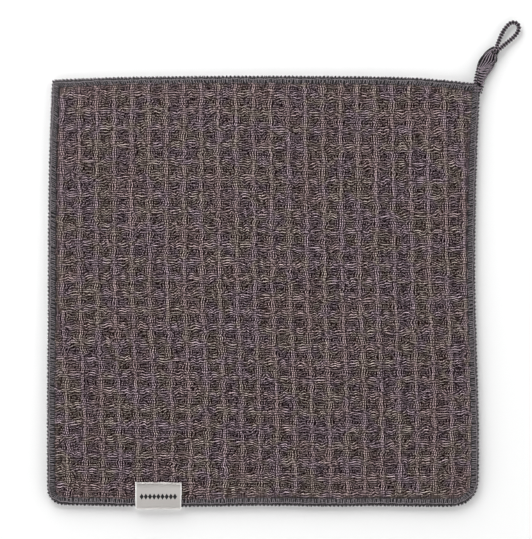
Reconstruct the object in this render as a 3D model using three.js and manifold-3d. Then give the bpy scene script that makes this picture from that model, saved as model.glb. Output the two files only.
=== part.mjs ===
// A square waffle-weave cleaning cloth that lies flat, face up: the woven panel, the overlock edging round
// its raw edge, the thread-chain hanging loop at one corner and the woven label folded over the lower edge.
// Millimetres, +Z up, +Y towards the edge with the loop. The origin is under the middle of the cloth.
import * as THREE from "three";
import { mergeVertices } from "three/addons/utils/BufferGeometryUtils.js";
import Module from "manifold-3d";

const wasm = await Module();
wasm.setup();
const { clamp, lerp, smoothstep } = THREE.MathUtils;

const clearance = 0.3; // between neighbouring pieces
const halfSide = 150; // of the nominal square
const above = 10; // the top of every cutting block, well over the cloth
const below = -1; // and the bottom of those that reach under it
const settling = 4; // passes in which a point whose place depends on itself comes to rest

// The weave: heights over the surface that the cloth lies on.
const waffle = {
  columns: 24, // upright ridges
  rows: 25, // level ridges
  crossing: 3, // where two ridges cross
  uprightRidge: 2.8, // half way along an upright ridge
  levelRidge: 2.5, // half way along a level ridge
  pit: 1.1, // the middle of a cell
  unevenness: 0.12, // the slow rise and fall of a soft cloth
  waveAcross: 90, // its length from left to right
  waveUp: 115, // and from bottom to top
};
// The first and last upright ridge, at heights up the cloth: the cloth lies a little out of true.
const columnLay = [
  { y: -132, first: -135.6, last: 144 },
  { y: -69, first: -137.4, last: 143.8 },
  { y: 1, first: -140.2, last: 140.9 },
  { y: 70, first: -140.4, last: 139.8 },
  { y: 140, first: -140.2, last: 138.2 },
];
// The top, middle and bottom level ridge, at distances across the cloth.
const rowLay = [
  { x: -135, top: 136.9, middle: -1.7, bottom: -135.8 },
  { x: -30, top: 137.4, middle: -2.8, bottom: -139.7 },
  { x: 40, top: 135.1, middle: -5.6, bottom: -142.4 },
  { x: 134, top: 135, middle: -4.7, bottom: -141.1 },
];

// How far each side lies beyond the nominal square, at distances along it.
const sides = {
  bottom: [
    { along: -150, out: -0.6 },
    { along: -100, out: 0.4 },
    { along: -45, out: 0.8 },
    { along: 0, out: 0.1 },
    { along: 50, out: 0.7 },
    { along: 80, out: 0.2 },
    { along: 115, out: 0.8 },
    { along: 150, out: 0.4 },
  ],
  right: [
    { along: -150, out: 0.3 },
    { along: -105, out: 1 },
    { along: -45, out: -0.4 },
    { along: 15, out: -1.7 },
    { along: 90, out: -0.5 },
    { along: 150, out: 2.2 },
  ],
  top: [
    { along: -150, out: -2.4 },
    { along: -100, out: -0.5 },
    { along: -25, out: 0.4 },
    { along: 50, out: 0.2 },
    { along: 110, out: -1 },
    { along: 150, out: -5 },
  ],
  left: [
    { along: -150, out: 0.9 },
    { along: -75, out: 1 },
    { along: -20, out: 0.4 },
    { along: 50, out: 0.2 },
    { along: 110, out: -0.9 },
    { along: 150, out: -2.7 },
  ],
};
// The corners in turn from the lower right, each between the side before it and the side after it.
const corners = [
  { before: "bottom", after: "right", radius: 18 },
  { before: "right", after: "top", radius: 3 },
  { before: "top", after: "left", radius: 2 },
  { before: "left", after: "bottom", radius: 12 },
];
const cornerSteps = 6;
const sideSteps = 14;
const smallestRadius = 0.3; // of a corner that is moved inwards past its own radius

// The overlock thread wraps the cloth's thin margin from above and below: a channel, with the outside of
// its section from the underside round to the upper face.
const edging = { width: 6, height: 3, arm: 0.6, wall: 0.7 };
const edgingOutside = [
  { inset: 0.9, z: 0 },
  { inset: 0.1, z: 1 },
  { inset: 0, z: 1.7 },
  { inset: 0.4, z: 2.5 },
  { inset: 1.6, z: edging.height },
  { inset: 4.9, z: edging.height },
];
const margin = {
  inset: edging.wall + clearance,
  low: edging.arm + clearance,
  high: edging.height - edging.arm - clearance,
  fillet: 0.8, // where it runs into the pits beside it
};

const label = {
  middle: -72.9, // from the middle of the cloth
  width: 32,
  leg: 18.7, // from the fold to each sewn end
  thickness: 0.6,
  beyond: 1.4, // how far its fold stands out past the cloth's edge
  sewnHeight: 2.5, // the underside of the front leg where it is sewn down
  sewnLength: 3,
};
const frontUnder = edging.height + clearance; // the front leg passes over the edging
const edgeY = -(halfSide + between(sides.bottom, "along", label.middle).out);
const foldY = edgeY - label.beyond;
const tipY = foldY + label.leg;
const inwardY = edgeY + edging.width + 2 * clearance; // where the front leg starts down onto the cloth

// The loop's sewn shank, as level slices from the corner up to the waist.
const shank = {
  height: 3,
  sideHeight: 1.1,
  crown: 2.6, // the power of its rounded upper face, where 2 is an ellipse
  foot: 0.1, // how far in it touches the surface, as a share of its width
  stations: 50,
  points: 16, // across its upper face
  rungPitch: 2.6, // of the overlock threads that fan out at its right side
  rungLean: 1.5, // how far each runs down from the chain to the side
  rungRise: 0.22,
  rungFrom: 145,
  rungTo: 158,
  threadRise: 0.18, // of the long threads over its upper half
  threads: 4,
  chainRise: 0.25, // of the chain along its left side
  chainWidth: 0.4, // as a share of the shank's width
  blend: 0.1, // and of the width on each side of the line where chain and rungs meet
};
const shankSlices = [
  { y: 138, left: 147, right: 152.2 },
  { y: 141, left: 147, right: 153.1 },
  { y: 144.5, left: 147, right: 154.2 },
  { y: 147.3, left: 147.3, right: 154.8 },
  { y: 151.5, left: 148.2, right: 157.3 },
  { y: 155.5, left: 149.2, right: 160.1 },
  { y: 160, left: 150.7, right: 162.7 },
  { y: 164, left: 153.3, right: 163.4 },
  { y: 166.5, left: 155.8, right: 164.1 },
  { y: 168.3, left: 158.4, right: 165 },
  { y: 169.6, left: 160.9, right: 166.3 },
  { y: 171, left: 162, right: 167.4 },
];
// The eye: one chain strand from the waist round its tip and back.
const strand = {
  halfWidth: 1.2,
  halfHeight: 1.4,
  lobe: 0.12, // the two plies of its twist
  twist: 5, // the length of one turn
  stations: 62,
  points: 10,
  taper: 3, // over this length its ends grow from their own size
  endShare: 0.55,
};
const eyeRoute = [
  { x: 161.9, y: 167.4 },
  { x: 163.1, y: 170.6 },
  { x: 165, y: 175.4 },
  { x: 167.2, y: 180.3 },
  { x: 169.7, y: 184.1 },
  { x: 172.3, y: 186.6 },
  { x: 175.1, y: 187.4 },
  { x: 177.7, y: 186.2 },
  { x: 178.6, y: 183.3 },
  { x: 177.3, y: 180.1 },
  { x: 174.5, y: 176.8 },
  { x: 170.9, y: 173.7 },
  { x: 167.4, y: 170.9 },
  { x: 164.3, y: 168 },
];

// The values of a table's columns part way between two of its rows, on a smooth curve through all of them.
function between(rows, key, at) {
  const found = rows.findIndex((row) => row[key] >= at);
  const upper = found < 0 ? rows.length - 1 : Math.max(found, 1);
  const [low, high] = [rows[upper - 1], rows[upper]];
  const [before, after] = [rows[upper - 2] ?? low, rows[upper + 1] ?? high];
  const gap = high[key] - low[key];
  const t = clamp((at - low[key]) / gap, 0, 1);
  const values = {};
  for (const name of Object.keys(low)) {
    const leave = (gap * (high[name] - before[name])) / (high[key] - before[key]);
    const arrive = (gap * (after[name] - low[name])) / (after[key] - low[key]);
    const ease = t * t * (3 - 2 * t);
    const pull = leave * t * (1 - t) * (1 - t) - arrive * t * t * (1 - t);
    values[name] = lerp(low[name], high[name], ease) + pull;
  }
  return values;
}

// Where an upright and a level ridge cross. Rows count down from the top, and halves are cell middles.
function latticePoint(column, row) {
  const halfRows = (waffle.rows - 1) / 2;
  const down = row / halfRows - 1;
  const point = new THREE.Vector2(0, 0);
  for (let pass = 0; pass < settling; pass++) {
    const upright = between(columnLay, "y", point.y);
    point.x = lerp(upright.first, upright.last, column / (waffle.columns - 1));
    const level = between(rowLay, "x", point.x);
    const slope = (level.bottom - level.top) / 2;
    const bend = (level.bottom + level.top) / 2 - level.middle;
    point.y = level.middle + slope * down + bend * down * down;
  }
  return point;
}

function reliefHeight(onColumn, onRow, point) {
  const heights = onColumn ? [waffle.uprightRidge, waffle.crossing] : [waffle.pit, waffle.levelRidge];
  const across = Math.sin((2 * Math.PI * point.x) / waffle.waveAcross);
  const up = Math.sin((2 * Math.PI * point.y) / waffle.waveUp);
  return heights[onRow ? 1 : 0] - (waffle.unevenness * (1 + across * up)) / 2;
}

// The points of the cloth's outline moved inwards, anticlockwise from the lower right corner.
function outline(inset) {
  const out = (side, along) => between(sides[side], "along", along).out;
  const line = (side, along) => halfSide + out(side, along) - inset;
  // Along the bottom and the top a side's line is a height, along the other two it is a distance across.
  const signs = { bottom: -1, right: 1, top: 1, left: -1 };
  const arcs = corners.map(({ before, after, radius }, turn) => {
    const upright = before === "right" || before === "left" ? before : after;
    const level = upright === before ? after : before;
    const bend = Math.max(radius - inset, smallestRadius);
    const centre = new THREE.Vector2(signs[upright] * halfSide, signs[level] * halfSide);
    for (let pass = 0; pass < settling; pass++) {
      const { x, y } = centre;
      centre.x = signs[upright] * (line(upright, y) - bend);
      centre.y = signs[level] * (line(level, x) - bend);
    }
    const start = ((turn - 1) * Math.PI) / 2;
    const arc = new THREE.EllipseCurve(centre.x, centre.y, bend, bend, start, start + Math.PI / 2);
    return arc.getPoints(cornerSteps);
  });
  return corners.flatMap(({ after }, turn) => {
    const arc = arcs[turn];
    const from = arc.at(-1);
    const to = arcs[(turn + 1) % arcs.length][0];
    const upright = after === "right" || after === "left";
    const side = [];
    for (let step = 1; step < sideSteps; step++) {
      const share = step / sideSteps;
      const along = upright ? lerp(from.y, to.y, share) : lerp(from.x, to.x, share);
      const reach = signs[after] * line(after, along);
      side.push(upright ? new THREE.Vector2(reach, along) : new THREE.Vector2(along, reach));
    }
    return [...arc, ...side];
  });
}

// A solid for joining and cutting, and the geometry of the result.
function solid(geometry) {
  const bare = geometry.clone();
  bare.deleteAttribute("normal");
  bare.deleteAttribute("uv");
  const merged = mergeVertices(bare, 1e-4);
  return new wasm.Manifold(
    new wasm.Mesh({
      numProp: 3,
      vertProperties: new Float32Array(merged.attributes.position.array),
      triVerts: new Uint32Array(merged.index.array),
    }),
  );
}
function geometryOf(manifold) {
  const { vertProperties, triVerts } = manifold.getMesh();
  const geometry = new THREE.BufferGeometry();
  geometry.setAttribute("position", new THREE.BufferAttribute(vertProperties, 3));
  geometry.setIndex(new THREE.BufferAttribute(triVerts, 1));
  geometry.computeVertexNormals();
  return geometry;
}

// An upright prism over the cloth's outline moved inwards.
function outlinePrism(inset, low, high) {
  const shape = new THREE.Shape(outline(inset));
  const prism = new THREE.ExtrudeGeometry(shape, { depth: high - low, bevelEnabled: false });
  return solid(prism.translate(0, 0, low));
}
function block(lowX, highX, lowY, highY, lowZ, highZ) {
  const box = new THREE.BoxGeometry(highX - lowX, highY - lowY, highZ - lowZ);
  return solid(box.translate((lowX + highX) / 2, (lowY + highY) / 2, (lowZ + highZ) / 2));
}

// A closed surface through loops of points, each loop the same number of points.
function loft(loops, joined) {
  const count = loops[0].length;
  const faces = [];
  const rings = joined ? loops.length : loops.length - 1;
  for (let ring = 0; ring < rings; ring++) {
    const next = (ring + 1) % loops.length;
    for (let point = 0; point < count; point++) {
      const beside = (point + 1) % count;
      const [a, b] = [ring * count + point, ring * count + beside];
      const [c, d] = [next * count + beside, next * count + point];
      faces.push(a, b, c, a, c, d);
    }
  }
  if (!joined) {
    const end = (loops.length - 1) * count;
    for (let point = 1; point < count - 1; point++) {
      faces.push(0, point + 1, point, end, end + point, end + point + 1);
    }
  }
  const geometry = new THREE.BufferGeometry().setFromPoints(loops.flat());
  geometry.setIndex(faces);
  const made = solid(geometry);
  if (made.volume() > 0) return made;
  return solid(geometry.setIndex(faces.reverse()));
}

// The woven relief as a slab that reaches past the cloth on all sides. Each cell is split from its
// crossings to its pit, so that it is a sunken pyramid.
function reliefSlab() {
  const first = -2; // it starts this many half cells before the first ridge
  const across = 2 * (waffle.columns - first);
  const down = 2 * (waffle.rows - first);
  const tops = [];
  for (let row = 0; row < down; row++) {
    for (let column = 0; column < across; column++) {
      const [halfColumn, halfRow] = [first + column, first + row];
      const { x, y } = latticePoint(halfColumn / 2, halfRow / 2);
      const height = reliefHeight(halfColumn % 2 === 0, halfRow % 2 === 0, { x, y });
      tops.push(new THREE.Vector3(x, y, height));
    }
  }
  const faces = [];
  const quad = (a, b, c, d) => faces.push(a, b, c, a, c, d);
  for (let row = 0; row < down - 1; row++) {
    for (let column = 0; column < across - 1; column++) {
      const a = row * across + column;
      const [b, c, d] = [a + across, a + across + 1, a + 1];
      if ((row + column) % 2) quad(b, c, d, a);
      else quad(a, b, c, d);
    }
  }
  // The flat underside has only the four corners, and each wall fans out from one of them.
  const lastColumn = across - 1;
  const lastRow = (down - 1) * across;
  const walls = [
    { from: 0, step: 1, count: across },
    { from: lastColumn, step: across, count: down },
    { from: lastRow + lastColumn, step: -1, count: across },
    { from: lastRow, step: -across, count: down },
  ];
  const under = walls.map(({ from }) => tops[from].clone().setZ(0));
  walls.forEach(({ from, step, count }, side) => {
    const corner = tops.length + side;
    const nextCorner = tops.length + ((side + 1) % walls.length);
    for (let point = 0; point < count - 1; point++) {
      faces.push(from + point * step, from + (point + 1) * step, corner);
    }
    faces.push(from + (count - 1) * step, nextCorner, corner);
  });
  quad(tops.length, tops.length + 1, tops.length + 2, tops.length + 3);
  return solid(new THREE.BufferGeometry().setFromPoints([...tops, ...under]).setIndex(faces));
}

// The room that the folded label takes in the pieces it wraps.
function labelPocket() {
  const [left, right] = [-1, 1].map((way) => label.middle + way * (label.width / 2 + clearance));
  const outside = foldY - clearance;
  const end = tipY + clearance;
  return {
    under: block(left, right, outside, end, below, label.thickness + clearance),
    over: block(left, right, outside, end, label.sewnHeight - clearance, above),
    pressed: block(left, right, inwardY, end, margin.low, label.sewnHeight - clearance),
  };
}

// A closed band that follows the outline all round, through the points of its section.
function band(section) {
  const lines = section.map(({ inset, z }) => outline(inset).map(({ x, y }) => new THREE.Vector3(x, y, z)));
  const stations = lines[0].map((_, step) => lines.map((line) => line[step]));
  return loft(stations, true);
}

function makeCloth() {
  const { inset, low, high, fillet } = margin;
  const inside = edging.width + clearance;
  const core = reliefSlab().intersect(outlinePrism(inside, 0, above));
  const rim = band([
    { inset, z: low },
    { inset, z: high },
    { inset: inside, z: high },
    { inset: inside + fillet, z: low },
  ]);
  const { under, over, pressed } = labelPocket();
  return geometryOf(core.add(rim).add(pressed).subtract(under).subtract(over));
}

function makeEdging() {
  const { width, height, arm, wall } = edging;
  const section = [
    ...edgingOutside,
    { inset: width, z: height - arm / 2 },
    { inset: width, z: height - arm },
    { inset: wall, z: height - arm },
    { inset: wall, z: arm },
    { inset: width, z: arm },
    { inset: width - arm / 2, z: 0 },
  ];
  return geometryOf(band(section).subtract(labelPocket().under));
}

// How far the shank's upper face stands up or sinks for its threads. Share runs across it from the left.
function shankRelief(share, y) {
  const { rungFrom, rungTo, rungPitch, rungLean, chainWidth, blend } = shank;
  const wave = (turns) => Math.cos(2 * Math.PI * turns);
  const upperHalf = smoothstep(y, rungTo - rungPitch, rungTo + rungPitch);
  const onRight = smoothstep(share, chainWidth - blend, chainWidth + blend);
  const onRungs = onRight * smoothstep(y, rungFrom, rungFrom + 1);
  const rungs = shank.rungRise * onRungs * wave((y + rungLean * share) / rungPitch);
  const chain = shank.chainRise * (1 - onRight) * wave((share - chainWidth / 2) / chainWidth);
  const longThreads = shank.threadRise * wave(shank.threads * share);
  return lerp(rungs + chain, longThreads, upperHalf);
}

function shankSlice(y) {
  const { left, right } = between(shankSlices, "y", y);
  const { height, sideHeight, crown, foot, points } = shank;
  const slice = [];
  for (let step = 0; step <= points; step++) {
    const share = step / points;
    const arch = Math.pow(1 - Math.pow(Math.abs(2 * share - 1), crown), 1 / crown);
    const rise = height - sideHeight - shank.threadRise + shankRelief(share, y);
    slice.push(new THREE.Vector3(lerp(left, right, share), y, sideHeight + rise * arch));
  }
  slice.push(new THREE.Vector3(lerp(left, right, 1 - foot), y, 0));
  slice.push(new THREE.Vector3(lerp(left, right, foot), y, 0));
  return slice;
}

function eyeStrand() {
  const { halfWidth, halfHeight, lobe, twist, stations, points, taper, endShare } = strand;
  const route = new THREE.CatmullRomCurve3(eyeRoute.map(({ x, y }) => new THREE.Vector3(x, y, 0)));
  const length = route.getLength();
  const loops = [];
  for (let station = 0; station <= stations; station++) {
    const share = station / stations;
    const at = route.getPointAt(share);
    const tangent = route.getTangentAt(share);
    const across = new THREE.Vector3(tangent.y, -tangent.x, 0);
    const turned = (2 * Math.PI * share * length) / twist;
    const nearest = Math.min(share, 1 - share) * length;
    const size = lerp(endShare, 1, smoothstep(nearest, 0, taper));
    const loop = [];
    for (let point = 0; point < points; point++) {
      const angle = (2 * Math.PI * point) / points;
      const swell = lobe * Math.cos(2 * angle - turned);
      const sideways = size * (halfWidth + swell) * Math.cos(angle);
      const height = halfHeight + size * (halfHeight + swell - lobe) * Math.sin(angle);
      loop.push(at.clone().addScaledVector(across, sideways).setZ(Math.max(height, 0)));
    }
    loops.push(loop);
  }
  return loft(loops, false);
}

function makeLoop() {
  const [low, high] = [shankSlices[0].y, shankSlices.at(-1).y];
  const slices = [];
  for (let station = 0; station <= shank.stations; station++) {
    slices.push(shankSlice(lerp(low, high, station / shank.stations)));
  }
  const corner = outlinePrism(-clearance, below, above);
  return geometryOf(loft(slices, false).add(eyeStrand()).subtract(corner));
}

// The label's section, drawn with y to the right and z up: the back leg, the fold and the front leg.
function labelSection() {
  const { thickness, sewnHeight, sewnLength } = label;
  const outer = (frontUnder + thickness) / 2;
  const inner = outer - thickness;
  const centre = foldY + outer;
  const section = new THREE.Shape();
  section.moveTo(tipY, 0);
  section.lineTo(tipY, thickness);
  section.lineTo(centre, thickness);
  section.absarc(centre, outer, inner, -Math.PI / 2, Math.PI / 2, true);
  section.lineTo(inwardY, frontUnder);
  section.lineTo(tipY - sewnLength, sewnHeight);
  section.lineTo(tipY, sewnHeight);
  section.lineTo(tipY, sewnHeight + thickness);
  section.lineTo(tipY - sewnLength, sewnHeight + thickness);
  section.lineTo(inwardY, frontUnder + thickness);
  section.lineTo(centre, frontUnder + thickness);
  section.absarc(centre, outer, outer, Math.PI / 2, -Math.PI / 2, false);
  section.lineTo(tipY, 0);
  return section;
}

function piece(name, geometry, color, roughness) {
  const material = new THREE.MeshStandardMaterial({ color, roughness, metalness: 0 });
  const mesh = new THREE.Mesh(geometry, material);
  mesh.name = name;
  return mesh;
}

function makeLabel() {
  const options = { depth: label.width, bevelEnabled: false, curveSegments: 8 };
  const mesh = piece("label", new THREE.ExtrudeGeometry(labelSection(), options), "#b9b6b2", 0.85);
  const upCloth = new THREE.Vector3(0, 1, 0);
  const upwards = new THREE.Vector3(0, 0, 1);
  const acrossCloth = new THREE.Vector3(1, 0, 0);
  mesh.quaternion.setFromRotationMatrix(new THREE.Matrix4().makeBasis(upCloth, upwards, acrossCloth));
  mesh.position.x = label.middle - label.width / 2;
  return mesh;
}

const part = new THREE.Group();
part.add(
  piece("cloth", makeCloth(), "#5f5353", 0.95),
  piece("edge_overlock", makeEdging(), "#5b5559", 0.9),
  piece("hanging_loop", makeLoop(), "#584f57", 0.9),
  makeLabel(),
);

export default part;
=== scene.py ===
# A square waffle-weave microfibre cloth that lies flat: the woven panel and its yarns, the overlocked edge,
# the chained thread loop at one corner and the woven label folded over the lower edge.
# Metres in the meshes. The dictionaries are in millimetres, turned to metres where a mesh gets its place.
import math

import bmesh
import bpy
import numpy as np
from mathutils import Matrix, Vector


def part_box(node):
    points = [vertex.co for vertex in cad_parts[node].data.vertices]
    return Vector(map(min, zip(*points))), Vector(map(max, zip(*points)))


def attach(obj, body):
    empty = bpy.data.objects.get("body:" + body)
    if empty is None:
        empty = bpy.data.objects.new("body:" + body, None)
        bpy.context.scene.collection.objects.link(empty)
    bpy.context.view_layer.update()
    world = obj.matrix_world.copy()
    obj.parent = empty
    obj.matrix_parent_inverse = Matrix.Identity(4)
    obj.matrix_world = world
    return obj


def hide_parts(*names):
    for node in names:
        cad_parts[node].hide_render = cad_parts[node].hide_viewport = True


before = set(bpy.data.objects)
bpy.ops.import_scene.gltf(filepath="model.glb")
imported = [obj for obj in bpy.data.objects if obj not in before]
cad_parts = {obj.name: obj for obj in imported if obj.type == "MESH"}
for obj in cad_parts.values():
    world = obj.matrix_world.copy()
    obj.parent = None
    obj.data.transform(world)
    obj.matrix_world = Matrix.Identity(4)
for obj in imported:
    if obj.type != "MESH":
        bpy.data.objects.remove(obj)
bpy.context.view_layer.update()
mm = 0.001
body = "root"
chance = np.random.default_rng(11)  # every random draw comes from here, in the order of the script

# The weave's lattice, the same as in the solids: upright ridges are numbered from the left, level ridges
# from the top, and a cell's pit is half way between them.
weave = {
    "columns": 24,
    "rows": 25,
    "pitchAcross": 12.15,
    "pitchUp": 11.6,
    "crossing": 3.0,
    "uprightRidge": 2.8,
    "levelRidge": 2.5,
    "pit": 1.1,
    "unevenness": 0.12,
    "waveAcross": 90,
    "waveUp": 115,
    "steepUpright": -0.25,  # the fall to a pit is steep beside the upright ridges,
    "roundLevel": 0.3,  # and round beside the level ones
    "wander": 0.28,  # how far a ridge strays from its line, as a soft cloth's do
    "wanderWaves": 7,
    "wanderTurn": (0.12, 0.42),  # radians that one of these waves turns through in a millimetre
}
# First and last upright ridge at heights up the cloth, and three level ridges at distances across it.
columnLay = {
    "y": [-132, -69, 1, 70, 140],
    "first": [-135.6, -137.4, -140.2, -140.4, -140.2],
    "last": [144, 143.8, 140.9, 139.8, 138.2],
}
rowLay = {
    "x": [-135, -30, 40, 134],
    "top": [136.9, 137.4, 135.1, 135],
    "middle": [-1.7, -2.8, -5.6, -4.7],
    "bottom": [-135.8, -139.7, -142.4, -141.1],
}


# Small helpers for meshes

def newObject(name, bm):
    bmesh.ops.recalc_face_normals(bm, faces=bm.faces)
    mesh = bpy.data.meshes.new(name)
    bm.to_mesh(mesh)
    bm.free()
    made = bpy.data.objects.new(name, mesh)
    bpy.context.scene.collection.objects.link(made)
    return made


def applyModifiers(piece):
    graph = bpy.context.evaluated_depsgraph_get()
    mesh = bpy.data.meshes.new_from_object(piece.evaluated_get(graph))
    piece.modifiers.clear()
    piece.data = mesh
    return piece


def readPoints(piece):
    points = np.empty(len(piece.data.vertices) * 3)
    piece.data.vertices.foreach_get("co", points)
    return points.reshape(-1, 3)


def writePoints(piece, points):
    piece.data.vertices.foreach_set("co", points.astype(np.float32).ravel())
    piece.data.update()
    piece.data.shade_smooth()


def writeShade(piece, name, values):
    made = piece.data.attributes.new(name, "FLOAT", "POINT")
    made.data.foreach_set("value", np.asarray(values, np.float32).ravel())


# Nothing lies below the floor, a piece's points go from millimetres to metres, and its painted light goes
# onto them: 0 where the painted shade is darkest and 1 where it is lit.
def finishPiece(piece, points, shade):
    points[:, 2] = np.maximum(points[:, 2], 0)
    writePoints(piece, points * mm)
    writeShade(piece, "paintedLight", shade)
    return piece


# Many closed threads in one mesh. A straight one is made and repeated, and each copy is bent onto its route:
# routes holds threads, points and coordinates, and sizes each point's half width and half height. With the
# mesh come its points, their places on the straight thread and the number of their own thread.
def makeThreads(name, routes, sizes, sides, upward=(0, 0, 1)):
    routes = np.asarray(routes, float)
    threads, steps = routes.shape[:2]
    sizes = np.broadcast_to(np.asarray(sizes, float), (threads, steps, 2))
    bm = bmesh.new()
    ring = bmesh.ops.create_circle(bm, cap_ends=True, segments=sides, radius=1)["verts"]
    face = ring[0].link_faces[0]
    for step in range(1, steps):
        grown = bmesh.ops.extrude_face_region(bm, geom=[face, *face.edges])["geom"]
        ring = [part for part in grown if isinstance(part, bmesh.types.BMVert)]
        face = next(part for part in grown if isinstance(part, bmesh.types.BMFace))
        bmesh.ops.translate(bm, verts=ring, vec=(0, 0, 1))
    piece = newObject(name, bm)
    straight = readPoints(piece)
    array = piece.modifiers.new("threads", "ARRAY")
    array.count = threads
    array.use_relative_offset = False
    applyModifiers(piece)
    sideways, lifted = sidesOf(routes, upward)
    station = np.round(straight[:, 2]).astype(int)
    across = sideways[:, station] * (sizes[:, station, 0] * straight[:, 0])[..., None]
    up = lifted[:, station] * (sizes[:, station, 1] * straight[:, 1])[..., None]
    owner = np.repeat(np.arange(threads), len(straight))
    return piece, (routes[:, station] + across + up).reshape(-1, 3), np.tile(straight, (threads, 1)), owner


# A route's own directions at each point: to its side and upwards, both square to it
def sidesOf(route, upward=(0, 0, 1)):
    along = np.gradient(route, axis=-2)
    sideways = np.cross(upward, along)
    sideways /= np.linalg.norm(sideways, axis=-1, keepdims=True)
    lifted = np.cross(along, sideways)
    return sideways, lifted / np.linalg.norm(lifted, axis=-1, keepdims=True)


# Rises from 0 at the first of two values to 1 at the second
def ramp(value, ends):
    return np.clip((value - ends[0]) / (ends[1] - ends[0]), 0, 1)


# The same share, with a soft start and end
def ease(share):
    return share * share * (3 - 2 * share)


# A curve's value part way between the rows of a table, smooth through all of them
def readColumn(table, key, name, at):
    marks, values = np.array(table[key], float), np.array(table[name], float)
    high = np.clip(np.searchsorted(marks, at), 1, len(marks) - 1)
    low = high - 1
    before, after = np.maximum(low - 1, 0), np.minimum(high + 1, len(marks) - 1)
    gap = marks[high] - marks[low]
    t = np.clip((at - marks[low]) / gap, 0, 1)
    leave = gap * (values[high] - values[before]) / (marks[high] - marks[before])
    arrive = gap * (values[after] - values[low]) / (marks[after] - marks[low])
    eased = values[low] + (values[high] - values[low]) * ease(t)
    return eased + leave * t * (1 - t) ** 2 - arrive * t * t * (1 - t)


# A smooth route of a given number of points through a few that are listed
def smoothRoute(places, count):
    places = np.array(places, float)
    table = {"travel": travelOf(places), **dict(enumerate(places.T))}
    at = np.linspace(0, table["travel"][-1], count)
    return np.stack([readColumn(table, "travel", axis, at) for axis in range(places.shape[1])], axis=1)


def travelOf(route):
    return np.concatenate([[0], np.cumsum(np.linalg.norm(np.diff(route, axis=0), axis=1))])


# The plies of a yarn, twisted round its route
def plyRoutes(route, yarn):
    sideways, lifted = sidesOf(route)
    turned = chance.uniform(0, 2 * math.pi) + 2 * math.pi * travelOf(route) / yarn["twist"]
    plies = []
    for ply in range(yarn["plies"]):
        angle = (turned + 2 * math.pi * ply / yarn["plies"])[:, None]
        plies.append(route + yarn["spread"] * (np.cos(angle) * sideways + np.sin(angle) * lifted))
    return plies


# Where things lie on the cloth

# A few waves for each of two ways: the radians that they turn through in a millimetre along two directions,
# and where they start
def drawWaves(count, least, most):
    turns = chance.uniform(least, most, (2, count, 2)) * chance.choice([-1, 1], (2, count, 2))
    return list(zip(turns, chance.uniform(0, 2 * math.pi, (2, count))))


def sumWaves(waves, first, second):
    total = 0
    for (alongFirst, alongSecond), start in zip(*waves):
        total = total + np.sin(alongFirst * first + alongSecond * second + start)
    return total / math.sqrt(len(waves[1]) / 2)


# A slow wander across and up the cloth
wanderWaves = drawWaves(weave["wanderWaves"], *weave["wanderTurn"])


def wander(x, y, way):
    return weave["wander"] * sumWaves(wanderWaves[way], x, y)


def latticePlace(column, row):
    x, y = np.zeros(np.shape(column)), np.zeros(np.shape(column))
    down = row * 2 / (weave["rows"] - 1) - 1
    for settling in range(4):
        first, last = (readColumn(columnLay, "y", name, y) for name in ("first", "last"))
        x = first + (last - first) * column / (weave["columns"] - 1)
        top, middle, bottom = (readColumn(rowLay, "x", name, x) for name in ("top", "middle", "bottom"))
        y = middle + (bottom - top) / 2 * down + ((bottom + top) / 2 - middle) * down * down
    return x + wander(x, y, 0), y + wander(x, y, 1)


# The woven face's height over the floor: a sunken pyramid in each cell, with a narrow fall from the
# upright ridges and a round one from the level ridges.
def weaveHeight(column, row, x, y):
    offColumn, offRow = np.abs(column - np.round(column)), np.abs(row - np.round(row))
    upright = offColumn < offRow
    alongRidge = 2 * np.abs(offColumn - offRow)
    toPit = 2 * np.minimum(offColumn, offRow)
    ridge = np.where(upright, weave["uprightRidge"], weave["levelRidge"])
    fall = toPit ** (1 + np.where(upright, weave["steepUpright"], weave["roundLevel"]) * alongRidge)
    height = weave["crossing"] + (ridge - weave["crossing"]) * alongRidge
    height = height + (weave["pit"] - weave["crossing"]) * fall
    swell = np.sin(2 * math.pi * x / weave["waveAcross"]) * np.sin(2 * math.pi * y / weave["waveUp"])
    return height - weave["unevenness"] * (1 + swell) / 2


# Painted shade by height: 0, darkest, in a pit and 1, lightest, on a crossing.
def paintedLightByHeight(height):
    return ramp(height, (weave["pit"], weave["crossing"]))


# The cloth's outline from the frame: two rings of the overlock's own points, on its rim and at its inner
# edge, in millimetres and anticlockwise, so that a point between them is a share of the edging's width.
edging = {"width": 6.0, "rimHeight": 1.7, "innerHeight": 2.7, "tolerance": 0.02}


def ringAt(height):
    points = np.array([v.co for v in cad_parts["edge_overlock"].data.vertices]) / mm
    isThere = np.abs(points[:, 2] - height) < edging["tolerance"]
    level = np.unique(points[isThere][:, :2].round(3), axis=0)
    return level[np.argsort(np.arctan2(level[:, 1], level[:, 0]))]


rim = ringAt(edging["rimHeight"])
innerRing = ringAt(edging["innerHeight"])
rimSteps = np.linalg.norm(np.roll(rim, -1, axis=0) - rim, axis=1)
rimMarks = np.concatenate([[0], np.cumsum(rimSteps)])
rimLength = rimMarks[-1]


def rimPlace(along, inset):
    at = np.mod(along, rimLength)
    places = []
    for ring in (rim, innerRing):
        closed = np.vstack([ring, ring[:1]])
        places.append([np.interp(at, rimMarks, closed[:, 0]), np.interp(at, rimMarks, closed[:, 1])])
    outer, inner = places
    share = inset / edging["width"]
    return [outer[i] + (inner[i] - outer[i]) * share for i in (0, 1)]


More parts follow.
